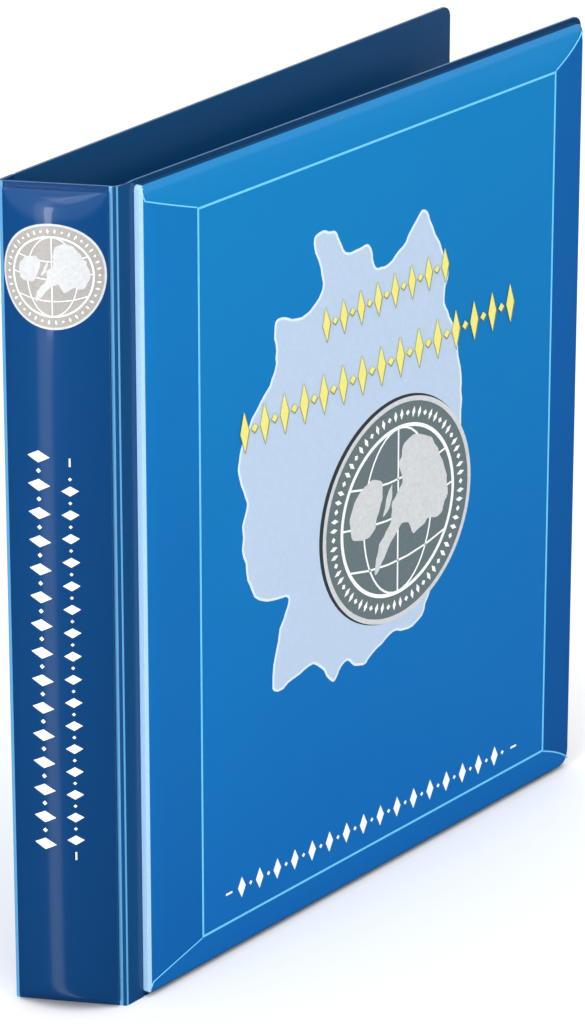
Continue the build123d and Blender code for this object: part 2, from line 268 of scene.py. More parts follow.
def makeStudio():
    bpy.context.scene.view_settings.view_transform = "Standard"
    world = bpy.data.worlds.new("studioAir")
    bpy.context.scene.world = world
    world.use_nodes = True
    tree = world.node_tree
    sky = tree.nodes["Background"]
    sky.inputs["Color"].default_value = toLinear("#FFFFFF")
    place = addNode(tree, "ShaderNodeTexCoord")
    axes = addNode(tree, "ShaderNodeSeparateXYZ", None, {"Vector": place.outputs["Generated"]})
    gradient = {"interpolation_type": "SMOOTHSTEP", "From Min": studio["horizonFrom"],
                "From Max": studio["horizonTo"], "To Min": studio["room"], "To Max": studio["world"]}
    horizon = addNode(tree, "ShaderNodeMapRange", gradient, {"Value": axes.outputs["Z"]})
    bearing, spread = math.radians(studio["stripBearing"]), math.radians(studio["stripWidth"])
    level = addNode(tree, "ShaderNodeMapping", {"Scale": (1.0, 1.0, 0.0)},
                    {"Vector": place.outputs["Generated"]})
    flat = addNode(tree, "ShaderNodeVectorMath", {"operation": "NORMALIZE"}, {0: level.outputs["Vector"]})
    stripWay = {"operation": "DOT_PRODUCT", 1: (math.cos(bearing), math.sin(bearing), 0)}
    toward = addNode(tree, "ShaderNodeVectorMath", stripWay, {0: flat.outputs["Vector"]})
    fade = {"interpolation_type": "SMOOTHSTEP", "From Min": math.cos(spread), "From Max": 1.0,
            "To Max": studio["stripPower"]}
    strip = addNode(tree, "ShaderNodeMapRange", fade, {"Value": toward.outputs["Value"]})
    whole = addNode(tree, "ShaderNodeMath", {"operation": "ADD"},
                    {0: horizon.outputs["Result"], 1: strip.outputs["Result"]})
    tree.links.new(whole.outputs["Value"], sky.inputs["Strength"])
    addLamp("topSoftbox", (-0.3, -0.5, 1.6), (0, 0, 0.15), 1.4, 1.0, 9)
    addLamp("leftStrip", (-1.5, -0.35, 0.45), (-0.1, 0, 0.14), 0.25, 1.2, 7)
    clearSelection()
    bpy.ops.mesh.primitive_plane_add(size=studio["reach"], location=(0, 0, 0))
    floor = newest("studioFloor")
    material, tree = newMaterial("pale matt paper")     # seamless paper: even, without shine
    grain = addNode(tree, "ShaderNodeTexNoise", {"Scale": 900.0, "Detail": 2.0})
    bump = addBump(tree, grain, 0.05, 0.0002)
    finishMaterial(tree, {"Base Color": toLinear(studio["floor"]), "Roughness": 0.9},
                   {"Normal": bump.outputs["Normal"]})
    floor.data.materials.append(material)
    floor.visible_glossy = False


makeCamera()
makeStudio()
print("camera and studio")


# Materials

filmGloss = {"Specular IOR Level": 0.15, "Coat Weight": 0.4, "Coat Roughness": 0.06, "Coat IOR": 1.53}


def addRipples(tree, place):
    # the slow unevenness of the clear film, which its gloss shows
    return addBump(tree, addNoise(tree, place, 30.0, 1.0), 0.35, 0.0008)


def coverVinylMaterial(name, highColour, lowColour, roughness=0.3):
    # clear calendered vinyl over a printed sheet, as one opaque skin: deep colour, sharp wet gloss
    material, tree = newMaterial(name)
    place = addNode(tree, "ShaderNodeTexCoord")
    axes = addNode(tree, "ShaderNodeSeparateXYZ", None, {"Vector": place.outputs["Object"]})
    heights = {"From Min": 0.0, "From Max": albumHeight}
    rise = addNode(tree, "ShaderNodeMapRange", heights, {"Value": axes.outputs["Z"]})
    cloud = addNoise(tree, place, 14.0, 3.0)
    sway = addNode(tree, "ShaderNodeMath", {"operation": "MULTIPLY_ADD", 1: 0.25, 2: -0.125},
                   {0: cloud.outputs["Fac"]})
    level = addNode(tree, "ShaderNodeMath", {"operation": "ADD"},
                    {0: rise.outputs["Result"], 1: sway.outputs["Value"]})
    tone = addTone(tree, level.outputs["Value"], lowColour, highColour)
    skin = addBump(tree, addNoise(tree, place, 700.0, 1.0), 0.05, 0.00005)
    tree.links.new(addRipples(tree, place).outputs["Normal"], skin.inputs["Normal"])
    normal = skin.outputs["Normal"]
    finishMaterial(tree, {"Roughness": roughness, **filmGloss},
                   {"Base Color": tone.outputs[2], "Normal": normal, "Coat Normal": normal})
    return material


def grainedMaterial(name, colour, darker, grainSize, depth, settings):
    # a base colour broken by its own grain, with the grain's relief
    material, tree = newMaterial(name)
    place = addNode(tree, "ShaderNodeTexCoord")
    grain = addNoise(tree, place, 1 / grainSize, 5.0)
    grain.inputs["Roughness"].default_value = 0.6
    tone = addTone(tree, grain.outputs["Fac"], darker, colour)
    relief = addBump(tree, grain, 0.5, depth)
    finishMaterial(tree, settings, {"Base Color": tone.outputs[2], "Normal": relief.outputs["Normal"]})
    return material


def brushedMetalMaterial(name, colour, darker, roughness, drawn):
    # drawn: fine parallel streaks along the part's length, as rolled and plated strip has
    material, tree = newMaterial(name)
    place = addNode(tree, "ShaderNodeTexCoord")
    stretch = addNode(tree, "ShaderNodeMapping", {"Scale": drawn}, {"Vector": place.outputs["Object"]})
    streak = addNode(tree, "ShaderNodeTexNoise", {"Scale": 1.0, "Detail": 4.0},
                     {"Vector": stretch.outputs["Vector"]})
    tone = addTone(tree, streak.outputs["Fac"], darker, colour)
    gloss = addNode(tree, "ShaderNodeMapRange", {"To Min": roughness * 0.7, "To Max": roughness * 1.4},
                    {"Value": streak.outputs["Fac"]})
    relief = addBump(tree, streak, 0.1, 0.00002)
    finishMaterial(tree, {"Metallic": 1.0},
                   {"Base Color": tone.outputs[2], "Roughness": gloss.outputs["Result"],
                    "Normal": relief.outputs["Normal"]})
    return material


def inkMaterial(name, colour, darker, speck=0.0012):
    # screen-printed ink as it looks through clear film: even, faintly mottled, glossy
    material, tree = newMaterial(name)
    place = addNode(tree, "ShaderNodeTexCoord")
    mottle = addNoise(tree, place, 1 / speck, 3.0)
    tone = addTone(tree, mottle.outputs["Fac"], darker, colour)
    normal = addRipples(tree, place).outputs["Normal"]
    finishMaterial(tree, {"Roughness": 0.25, **filmGloss},
                   {"Base Color": tone.outputs[2], "Normal": normal, "Coat Normal": normal})
    return material


def clearFoilMaterial(name):
    # soft clear PVC: see-through, slightly blue, with a glossy wrinkled face
    material, tree = newMaterial(name)
    place = addNode(tree, "ShaderNodeTexCoord")
    relief = addBump(tree, addNoise(tree, place, 60.0, 3.0), 0.3, 0.0006)
    finishMaterial(tree, {"Base Color": toLinear("#E9F2F7"), "Roughness": 0.08, "IOR": 1.53, "Alpha": 0.28},
                   {"Normal": relief.outputs["Normal"]})
    return material


materials = {
    "cover": coverVinylMaterial("clear vinyl over blue print", "#007CBA", "#0065B0"),
    # painted shade: the next two are the cover's blue print made darker, for the margin slopes that face the spine
    # and the fore-edge
    "coverSpineSlopeShade": coverVinylMaterial("clear vinyl over blue print margin", "#0073B6", "#005CA4"),
    "coverForeSlopeShade": coverVinylMaterial("clear vinyl over dark blue print margin", "#005FA8", "#004F94"),
    "spine": coverVinylMaterial("clear vinyl over navy print", "#003F76", "#003768"),
    "rim": coverVinylMaterial("welded dark blue vinyl edge", "#003C66", "#003158", 0.35),
    # painted highlight: this light blue stands for the light caught by the hinge strip's rounded weld beads
    "bead": grainedMaterial("light blue painted highlight on vinyl weld bead", "#5CA6D8", "#4A96CC", 0.0006, 0.00004,
                            {"Roughness": 0.3, "Coat Weight": 0.4, "Coat Roughness": 0.1}),
    # painted highlight: this pale blue stands for the light caught by the cover's rounded edge at the hinge side
    "edge": grainedMaterial("pale blue painted highlight on rounded vinyl edge", "#B4D6F4", "#9CC6EC", 0.0009, 0.00004,
                            {"Roughness": 0.22, "Coat Weight": 0.5, "Coat Roughness": 0.08}),
    "hinge": grainedMaterial("ribbed welded blue vinyl", "#004A80", "#003A6A", 0.0006, 0.00004,
                             {"Roughness": 0.3, "Specular IOR Level": 0.3, "Coat Weight": 0.25,
                              "Coat Roughness": 0.12}),
    "liner": grainedMaterial("grained dark blue liner vinyl", "#00558C", "#00406F", 0.0005, 0.00008,
                             {"Roughness": 0.42, "Coat Weight": 0.25, "Coat Roughness": 0.3}),
    "board": grainedMaterial("grey bookbinding board", "#9A958C", "#837E76", 0.0008, 0.0001,
                             {"Roughness": 0.9}),
    "foam": grainedMaterial("white polyether foam", "#EDEBE4", "#D2CFC6", 0.0009, 0.0003,
                            {"Roughness": 0.95}),
    "nickel": brushedMetalMaterial("nickel plated steel strip", "#D2CEC4", "#B5B0A5", 0.22, (900, 900, 14)),
    "chrome": brushedMetalMaterial("chromed steel wire", "#E6E8EA", "#CFD2D5", 0.07, (300, 300, 300)),
    "foil": clearFoilMaterial("clear soft PVC foil"),
    "card": grainedMaterial("matt black card", "#1B1C1E", "#101113", 0.0004, 0.00006, {"Roughness": 0.85}),
    "land": inkMaterial("pale blue printing ink", "#BCCEE2", "#AFC4DC"),
    "landEdge": inkMaterial("white blue printing ink", "#DCEAF7", "#D2E4F5"),
    # besides the printed frame line, this ink colours the film's crease ridges as a painted highlight
    "line": inkMaterial("light cyan printing ink, also painted highlight on creases", "#78D2FA", "#62C2F2"),
    "yellow": inkMaterial("yellow printing ink", "#F0E98A", "#E4DA6C"),
    "olive": inkMaterial("olive printing ink", "#8E8F4E", "#7D8046"),
    "white": inkMaterial("white printing ink", "#FFFFFF", "#F0F3F6"),
    "silver": inkMaterial("silver printing ink", "#DADCDD", "#B9BDC0"),
    "graphite": inkMaterial("graphite grey printing ink", "#6F7F82", "#586669", 0.0008),
    "pewter": inkMaterial("warm pewter printing ink", "#B4B0AC", "#98948F", 0.0008),
    "dusk": inkMaterial("dark slate printing ink", "#3A4348", "#2A3237", 0.0008),
}
print("materials")


# Padded covers: film drawn over board and pad, with sloping mitred margins round a raised field

coverShape = {
    "shell": 0.3 * mm,
    "rimLevel": 0.85 * mm,          # top of the welded edge
    "rimWidth": 1.6 * mm,
    "rimCorner": 4.0 * mm,          # rounded corners at the fore-edge
    "hingeCorner": 1.6 * mm,
    "boardTop": 2.5 * mm,
    "wallLevel": 2.75 * mm,
    "shoulder": 3.0 * mm,
    "fieldLevel": 4.65 * mm,
    "spineMargin": 25.0 * mm,
    "foreMargin": 18.5 * mm,
    "topMargin": 14.5 * mm,
    "bottomMargin": 12.5 * mm,
    "slopes": (0.02, 0.06, 0.14, 0.26, 0.4, 0.55, 0.7, 0.84, 0.94, 1.0),
    "acrossBend": 1.5,              # how the creases curve into the corners
    "alongBend": 0.85,
    "beadShare": 0.4,               # how much of the rise the rounded bead at the hinge side takes
    "beadFrom": 0.4 * mm,
    "beadReach": 1.9 * mm,
    "hingeInset": 0.7 * mm,         # the least that a slope keeps from the hinge side
    "slopeInset": 0.8 * mm,         # and from the welded edge
    "padHinge": 0.9 * mm,           # the same two for the pad
    "padInset": 0.3 * mm,
    "padSide": 0.35 * mm,           # to the pad's base from the hinge side and from the welded edge
    "padDrop": 0.55 * mm,           # from the film's outer face down to the pad
    "smoothing": 32,                # degrees
}
rivetHole = {
    "film": 4.15 * mm,              # radius round a rivet's head
    "foam": 4.05 * mm,
    "shank": 1.7 * mm,
    "foamLevel": 3.55 * mm,         # the floor of the foam's recess for a head
}


def resizeFace(piece, left, right, low, high, level):
    mesh = bmesh.from_edit_mesh(piece.data)
    corners = [v.co.copy() for v in mesh.verts if v.select]
    lows = [min(c[i] for c in corners) for i in range(3)]
    highs = [max(c[i] for c in corners) for i in range(3)]
    middle = [(a + b) / 2 for a, b in zip(lows, highs)]
    scale = ((right - left) / (highs[0] - lows[0]), (high - low) / (highs[1] - lows[1]), 1)
    move = ((left + right) / 2 - middle[0], (low + high) / 2 - middle[1], level - middle[2])
    bpy.ops.transform.resize(value=scale, center_override=middle)
    bpy.ops.transform.translate(value=move)


def stepUp(piece, left, right, low, high, level):
    bpy.ops.mesh.extrude_region_move(TRANSFORM_OT_translate={"value": (0, 0, 0)})
    resizeFace(piece, left, right, low, high, level)


def startSheet(name, left, right, low, high, level):
    clearSelection()
    bpy.ops.mesh.primitive_plane_add(size=1, location=((left + right) / 2, (low + high) / 2, level))
    sheet = newest(name)
    sheet.scale = (right - left, high - low, 1)
    bpy.ops.object.transform_apply(location=True, rotation=True, scale=True)
    return sheet


def roundCorners(piece, edge, radius, segments):
    selectParts(piece, "VERT", lambda v: abs(v.co.x - edge) < 0.01 * mm)
    bpy.ops.mesh.bevel(offset=radius, offset_pct=0, segments=segments, affect="VERTICES")


def marginSteps(shape, lowMargin, highMargin, lift):
    # one loop for each slope: how far in on each side, and its level
    steps = []
    for share in shape["slopes"]:
        across, along = share ** shape["acrossBend"], share ** shape["alongBend"]
        rise = math.sin(share * math.pi / 2) * 0.45 + share * 0.55
        if share <= shape["beadShare"]:
            inBead = (share / shape["beadShare"]) ** 1.5
            spineSide = shape["beadFrom"] + (shape["beadReach"] - shape["beadFrom"]) * inBead
        else:
            beyond = (share - shape["beadShare"]) / (1 - shape["beadShare"])
            spineSide = shape["beadReach"] + (shape["spineMargin"] - shape["beadReach"]) * beyond
        steps.append((spineSide, shape["foreMargin"] * across, lowMargin * along, highMargin * along,
                      shape["shoulder"] + (shape["fieldLevel"] - shape["shoulder"]) * rise - lift))
    return steps


def cutRivetHoles(piece, level, radius):
    # the heads of the two rivets lie sunk in the padding
    cutters = []
    for node in ("lower_rivet", "upper_rivet"):
        low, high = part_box(node)
        middle = rearSpace.inverted() @ ((low + high) / 2)
        for depth, size in ((level, radius), (0, rivetHole["shank"])):
            clearSelection()
            bpy.ops.mesh.primitive_cylinder_add(vertices=48, radius=size, depth=10 * mm,
                                                location=(middle.x, middle.y, depth + 5 * mm))
            cutters.append(newest("rivetCutter"))
    for cutter in cutters:
        applyModifier(piece, "BOOLEAN", operation="DIFFERENCE", solver="EXACT", object=cutter)
    for cutter in cutters:
        bpy.data.objects.remove(cutter)


def makeCoverFilm(name, space, body, lowMargin, highMargin, replaced, rivets=False):
    shape = coverShape
    film = startSheet(name, coverNear, coverFar, 0, albumHeight, shape["rimLevel"])
    makeActive(film)
    bpy.ops.object.mode_set(mode="EDIT")
    roundCorners(film, coverFar, shape["rimCorner"], 8)
    roundCorners(film, coverNear, shape["hingeCorner"], 4)
    bpy.ops.mesh.select_all(action="SELECT")
    rim = shape["rimWidth"]
    bpy.ops.mesh.inset(thickness=0.2 * mm)
    near, far, top = coverNear + 0.1 * mm, coverFar - rim, albumHeight - rim
    resizeFace(film, near, far, rim, top, shape["rimLevel"])
    stepUp(film, near + 0.1 * mm, far - 0.1 * mm, rim + 0.1 * mm, top - 0.1 * mm, shape["wallLevel"])
    stepUp(film, near + 0.4 * mm, far - 0.4 * mm, rim + 0.4 * mm, top - 0.4 * mm,
           shape["shoulder"] - 0.12 * mm)
    least = rim + shape["slopeInset"]
    for left, right, low, high, level in marginSteps(shape, lowMargin, highMargin, 0):
        stepUp(film, coverNear + max(left, shape["hingeInset"]), coverFar - max(right, least),
               max(low, least), albumHeight - max(high, least), level)
    bpy.ops.object.mode_set(mode="OBJECT")
    applyModifier(film, "SOLIDIFY", thickness=shape["shell"], offset=-1)
    if rivets:
        cutRivetHoles(film, shape["shoulder"], rivetHole["film"])
    smooth(film, coverShape["smoothing"])
    for finish in ("cover", "coverSpineSlopeShade", "coverForeSlopeShade", "rim", "edge"):
        film.data.materials.append(materials[finish])
    for face in film.data.polygons:
        spot = face.center
        onBead = spot.x < coverNear + shape["beadReach"] * 0.8 and spot.z > shape["wallLevel"] * 0.6
        # painted highlight: faces of the rounded bead along the hinge side take the pale blue edge colour
        if onBead and rim < spot.y < top:
            face.material_index = 4
        elif spot.z < shape["wallLevel"]:
            face.material_index = 3
        # painted shade: slope faces turned towards the fore-edge or the spine get the darker copies of the cover's
        # blue
        elif spot.x > coverFar - shape["foreMargin"] and face.normal.x > abs(face.normal.y):
            face.material_index = 2
        elif spot.x < coverNear + shape["spineMargin"] and -face.normal.x > abs(face.normal.y):
            face.material_index = 1
    place(film, space)
    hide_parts(*replaced)
    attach(film, body)


def makeCoverPad(name, space, body, lowMargin, highMargin, node, rivets=False):
    # the foam under the film: flat on the board, a quarter of a millimetre clear of the film's inner side
    shape = coverShape
    inset = shape["rimWidth"] + shape["padSide"]
    least = inset + shape["padInset"]
    near, far = coverNear + shape["padSide"], coverFar - inset
    pad = startSheet(name, near, far, inset, albumHeight - inset, shape["boardTop"])
    makeActive(pad)
    bpy.ops.object.mode_set(mode="EDIT")
    roundCorners(pad, far, 2.5 * mm, 4)
    roundCorners(pad, near, 2.0 * mm, 4)
    bpy.ops.mesh.select_all(action="SELECT")
    for left, right, low, high, level in marginSteps(shape, lowMargin, highMargin, shape["padDrop"]):
        if level < shape["boardTop"] + 0.2 * mm:        # under or too near the pad's own base
            continue
        stepUp(pad, coverNear + max(left, shape["padHinge"]), coverFar - max(right, least),
               max(low, least), albumHeight - max(high, least), level)
    bpy.ops.object.mode_set(mode="OBJECT")
    cleanNormals(pad)
    if rivets:
        cutRivetHoles(pad, rivetHole["foamLevel"], rivetHole["foam"])
    smooth(pad, coverShape["smoothing"])
    place(pad, space)
    pad.data.materials.append(materials["foam"])
    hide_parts(node)
    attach(pad, body)


lowEdge, highEdge = coverShape["bottomMargin"], coverShape["topMargin"]
makeCoverFilm("frontCoverFilm", frontSpace, "front_cover", lowEdge, highEdge, ("front_film", "front_print"))
makeCoverFilm("rearCoverFilm", rearSpace, "rear_cover", highEdge, lowEdge, ("rear_film", "rear_print"),
              rivets=True)
makeCoverPad("frontFoamPad", frontSpace, "front_cover", lowEdge, highEdge, "front_pad")
makeCoverPad("rearFoamPad", rearSpace, "rear_cover", highEdge, lowEdge, "rear_pad", rivets=True)
print("covers")


# Rounded spine: an arch of film over its pad, closed by a slope at each end

spineShape = {
    "edge": 2.35 * mm,              # from a hinge axis to the spine panel
    "bulge": 6.0 * mm,
    "shoulder": 2.5 * mm,
    "footLevel": 1.5 * mm,          # anything lower belongs to the film's foot, on the board's edge
    "filmClear": 0.1 * mm,          # how far the film's arch is set in at its sides and up at its foot
    "segments": 160,                # of the whole circle that the arch is cut from
    "ends": ((1.6, 0.02), (1.9, 0.2), (2.6, 0.4), (3.6, 0.6), (5.0, 0.78), (7.0, 0.91), (10.0, 1.0)),
}


def archRadius(half, bulge):
    # of the circle through both feet and the crown of an arch
    return (half ** 2 + bulge ** 2) / (2 * bulge)


def makeArch(name, inset, shoulder, bulge, ends):
    # an arc of a circle drawn along the spine, whose bulge dies away at both ends
    left, right = spineShape["edge"] + inset, spineSpan - spineShape["edge"] - inset
    radius = archRadius((right - left) / 2, bulge)
    middle = (left + right) / 2
    clearSelection()
    bpy.ops.mesh.primitive_circle_add(vertices=spineShape["segments"], radius=radius, fill_type="NOTHING",
                                      location=(middle, 0, shoulder + bulge - radius),
                                      rotation=(math.pi / 2, 0, 0))
    arch = newest(name)
    bpy.ops.object.transform_apply(location=True, rotation=True, scale=True)
    bpy.ops.object.mode_set(mode="EDIT")
    bpy.ops.mesh.select_all(action="SELECT")
    bpy.ops.mesh.bisect(plane_co=(middle, 0, shoulder), plane_no=(0, 0, 1), clear_inner=True)
    bpy.ops.mesh.select_all(action="SELECT")
    stations = list(ends) + [(albumHeight / mm - along, share) for along, share in reversed(ends)]
    lastAlong, lastShare = 0, 1
    for number, (along, share) in enumerate(stations):
        move = (0, (along - lastAlong) * mm, 0)
        if number:
            bpy.ops.mesh.extrude_region_move(TRANSFORM_OT_translate={"value": move})
        else:
            bpy.ops.transform.translate(value=move)
        bpy.ops.transform.resize(value=(1, 1, share / lastShare), center_override=(middle, 0, shoulder))
        lastAlong, lastShare = along, share
    bpy.ops.mesh.select_all(action="SELECT")
    bpy.ops.mesh.normals_make_consistent(inside=False)
    mesh = bmesh.from_edit_mesh(arch.data)
    crown = max(mesh.faces, key=lambda f: f.calc_center_median().z)
    if crown.normal.z < 0:
        bpy.ops.mesh.flip_normals()
    bpy.ops.mesh.region_to_loop()
    return arch


def makeSpine():
    shape = spineShape
    clear = shape["filmClear"]
    film = makeArch("spineFilm", clear, shape["shoulder"] + clear, shape["bulge"] - clear, shape["ends"])
    down = coverShape["rimLevel"] - shape["shoulder"] - clear
    bpy.ops.mesh.extrude_region_move(TRANSFORM_OT_translate={"value": (0, 0, down)})
    middle = (spineSpan / 2, albumHeight / 2, coverShape["rimLevel"])
    selectParts(film, "VERT", lambda v: v.co.z < shape["footLevel"])
    bpy.ops.transform.resize(value=(1, 1, 0), center_override=middle)
    endInset = shape["ends"][0][0] * mm
    for edge, way in ((endInset, -1), (albumHeight - endInset, 1)):
        selectParts(film, "VERT", lambda v: abs(v.co.y - edge) < 0.05 * mm and v.co.z < shape["footLevel"])
        bpy.ops.mesh.extrude_region_move(TRANSFORM_OT_translate={"value": (0, way * endInset, 0)})
    bpy.ops.object.mode_set(mode="OBJECT")
    applyModifier(film, "SOLIDIFY", thickness=coverShape["shell"], offset=-1)
    smooth(film, coverShape["smoothing"])
    place(film, spineSpace)
    film.data.materials.append(materials["spine"])
    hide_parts("spine_film", "spine_print")
    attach(film, "spine")
    padEnds = [(along + 0.4, share) for along, share in shape["ends"]]
    pad = makeArch("spineFoamPad", 0.5 * mm, shape["shoulder"], shape["bulge"] - 0.75 * mm, padEnds)
    bpy.ops.mesh.edge_face_add()
    bpy.ops.object.mode_set(mode="OBJECT")
    cleanNormals(pad)
    smooth(pad, coverShape["smoothing"])
    place(pad, spineSpace)
    pad.data.materials.append(materials["foam"])
    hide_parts("spine_pad")
    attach(pad, "spine")


makeSpine()
print("spine")


# Hinges: one welded strip of ribbed vinyl from panel to panel, folded at the hinge axis

hingeShape = {
    "thickness": 0.85 * mm,
    "ribPitch": 1.0 * mm,           # coarser than ribs of about 0.7 mm, so that they show
    "ribHeight": 0.14 * mm,
    "foldRadius": 1.3 * mm,
    "foldSteps": 8,
    "beadFrom": 0.1 * mm,           # the bead beside the fold, coloured light as a painted highlight, from the hinge axis
    "beadTo": 1.1 * mm,
}


def foldPath(turn, longSide, shortSide):
    # points across the strip from the spine panel to the cover, in the cover's space: the place, the
    # outward direction, and whether the strip is plain there or ribbed
    radius, steps = hingeShape["foldRadius"], hingeShape["foldSteps"]
    tangent = radius * math.tan(turn / 2)
    centre = Vector((tangent, stripThickness - radius))
    points = []
    spineWay = Vector((-math.cos(turn), -math.sin(turn)))
    spineOut = Vector((-math.sin(turn), math.cos(turn)))
    corner = Vector((0, stripThickness))
    for share in (1.0, 0.82, 0.6, 0.3):
        reach = tangent + (shortSide - tangent) * share
        points.append((corner + spineWay * reach, spineOut, share > 0.7 or share < 0.4))
    for step in range(steps + 1):
        angle = math.pi / 2 + turn * (1 - step / steps)
        way = Vector((math.cos(angle), math.sin(angle)))
        points.append((centre + way * radius, way, True))
    for share in (0.1, 0.2, 0.35, 0.5, 0.65, 0.8, 0.88, 1.0):
        reach = tangent + (longSide - tangent) * share
        points.append((corner + Vector((1, 0)) * reach, Vector((0, 1)), share < 0.15 or share > 0.85))
    return points


def makeHingeFilm(name, space, turn, replaced):
    points = foldPath(turn, coverNear, spineShape["edge"])
    pitch = hingeShape["ribPitch"]
    clearSelection()
    bpy.ops.mesh.primitive_grid_add(x_subdivisions=len(points) - 1, y_subdivisions=2, size=1,
                                    location=(0.5, 0.5, 0))
    strip = newest(name)
    bpy.ops.object.transform_apply(location=True, rotation=True, scale=True)
    bpy.ops.object.mode_set(mode="EDIT")
    mesh = bmesh.from_edit_mesh(strip.data)
    for vertex in mesh.verts:
        column = round(vertex.co.x * (len(points) - 1))
        row = round(vertex.co.y * 2)
        spot, way, plain = points[column]
        lift = hingeShape["ribHeight"] if row == 1 and not plain else 0
        spot = spot + way * lift
        vertex.co = Vector((spot.x, vertex.co.y * pitch, spot.y))
    bmesh.update_edit_mesh(strip.data)
    bpy.ops.object.mode_set(mode="OBJECT")
    applyModifier(strip, "ARRAY", count=round(albumHeight / pitch), use_relative_offset=False,
                  use_constant_offset=True, constant_offset_displace=(0, pitch, 0),
                  use_merge_vertices=True, merge_threshold=0.01 * mm)
    applyModifier(strip, "SOLIDIFY", thickness=hingeShape["thickness"], offset=-1)
    smooth(strip, 40)
    strip.data.materials.append(materials["hinge"])
    strip.data.materials.append(materials["bead"])
    spineWay = Vector((-math.cos(turn), -math.sin(turn)))
    outward = Vector((-math.sin(turn / 2), 0, math.cos(turn / 2)))
    # painted highlight: outward faces at the spine edge and beside the fold take the light bead colour
    for face in strip.data.polygons:
        spot = Vector((face.center.x, face.center.z - stripThickness))
        atSpine = spot.dot(spineWay) > points[0][0].length * 0.86
        atFold = hingeShape["beadFrom"] < spot.x < hingeShape["beadTo"]
        face.material_index = 1 if (atSpine or atFold) and face.normal.dot(outward) > 0.3 else 0
    place(strip, space)
    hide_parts(*replaced)
    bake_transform(strip)


frontTurn = spineAcross.angle(Vector((1, 0, 0)))
rearTurn = (-spineAcross).angle(foreDirection)
makeHingeFilm("frontHingeFilm", frontSpace, frontTurn,
              ("front_hinge_strip", "spine_front_hinge_strip"))
makeHingeFilm("rearHingeFilm", rearSpace, rearTurn,
              ("rear_hinge_strip", "spine_rear_hinge_strip"))
print("hinges")


# Printing: closed sheets of ink a twentieth of a millimetre thick. They lie just outside the film's
# face, because the film here is opaque and carries the printed sheet's colour itself.

inkShape = {"lift": 0.02 * mm, "thickness": 0.05 * mm, "layer": 0.05 * mm}
frameLine = {"width": 0.8 * mm, "inset": 0.1 * mm, "crease": 0.28 * mm}

# the printed country's outline: capes and bays in millimetres from the hinge axis and the cover's foot,
# joined by a smooth curve, with small coast detail from noise
landShape = {"edge": 0.9 * mm, "detail": 1.1 * mm, "detailSize": 5 * mm, "steps": 8}
landOutline = (
    (90, 240), (100, 240), (107, 231), (118, 230), (122, 221), (134, 224), (146, 235), (152, 226),
    (160, 212), (158, 200), (164, 188), (168, 165), (165, 135), (155, 105), (146, 88), (130, 88),
    (116, 82), (106, 86), (100, 81), (90, 91), (70, 88), (72, 108), (77, 119), (60, 125),
    (54, 146), (56, 160), (52, 170), (56, 184), (70, 200), (71, 217), (84, 215), (94, 222),
)
coinPrint = {"across": 134 * mm, "up": 132 * mm, "radius": 39.5 * mm, "beads": 66}


def roundedOutline(corners, steps):
    # a smooth closed curve through the corners, each span from its own cubic
    spots = []
    count = len(corners)
    for number in range(count):
        before, here, after, beyond = (Vector(corners[(number + k) % count]) for k in (-1, 0, 1, 2))
        for step in range(steps):
            t = step / steps
            squared = (2 * before - 5 * here + 4 * after - beyond) * t * t
            cubed = (3 * (here - after) + beyond - before) * t ** 3
            spots.append(here + ((after - before) * t + (squared + cubed)) / 2)
    return spots


def roughOutline(spots, depth, size):
    # moves each spot a little by noise, so that the line wanders like a coast
    moved = []
    for spot in spots:
        x, y = spot.x / size, spot.y / size
        moved.append(spot + Vector((noise.noise((x, y, 1)), noise.noise((x, y, 7)))) * depth)
    return moved


def inkSheet(name, points, level):
    # a flat closed outline in a panel's space, filled and given its thickness
    curve = bpy.data.curves.new(name, "CURVE")
    curve.dimensions = "2D"
    curve.fill_mode = "BOTH"
    curve.extrude = inkShape["thickness"] / 2
    spline = curve.splines.new("POLY")
    spline.points.add(len(points) - 1)
    for point, spot in zip(spline.points, points):
        point.co = (spot[0], spot[1], 0, 1)
    spline.use_cyclic_u = True
    sheet = bpy.data.objects.new(name, curve)
    bpy.context.scene.collection.objects.link(sheet)
    sheet.location = (0, 0, level)
    makeActive(sheet)
    bpy.ops.object.convert(target="MESH")
    bpy.ops.object.transform_apply(location=True, rotation=True, scale=True)
    cleanNormals(sheet)
    return sheet


def ringSheet(name, centre, outer, inner, level):
    # a flat ring: a disc inset to its inner edge, opened and thickened
    clearSelection()
    bpy.ops.mesh.primitive_circle_add(vertices=96, radius=outer, fill_type="NGON",
                                      location=(*centre, level))
    ring = newest(name)
    bpy.ops.object.transform_apply(location=True, rotation=True, scale=True)
    bpy.ops.object.mode_set(mode="EDIT")
    bpy.ops.mesh.select_all(action="SELECT")
    if inner > 0:
        bpy.ops.mesh.inset(thickness=outer - inner)
        bpy.ops.mesh.delete(type="FACE")
    bpy.ops.mesh.select_all(action="SELECT")
    bpy.ops.mesh.extrude_region_move(TRANSFORM_OT_translate={"value": (0, 0, inkShape["thickness"])})
    bpy.ops.object.mode_set(mode="OBJECT")
    cleanNormals(ring)
    return ring


def finishInk(piece, space, finish, body):
    place(piece, space)
    piece.data.materials.clear()
    piece.data.materials.append(materials[finish])
    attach(piece, body)


def ribbon(name, line, width, level):
    # a narrow ribbon of ink along a drawn line
    left, right = [], []
    for number, spot in enumerate(line):
        before, after = line[max(number - 1, 0)], line[min(number + 1, len(line) - 1)]
        way = (Vector(after) - Vector(before)).normalized()
        side = Vector((-way.y, way.x)) * width / 2
        left.append(Vector(spot) + side)
        right.append(Vector(spot) - side)
    return inkSheet(name, left + right[::-1], level)


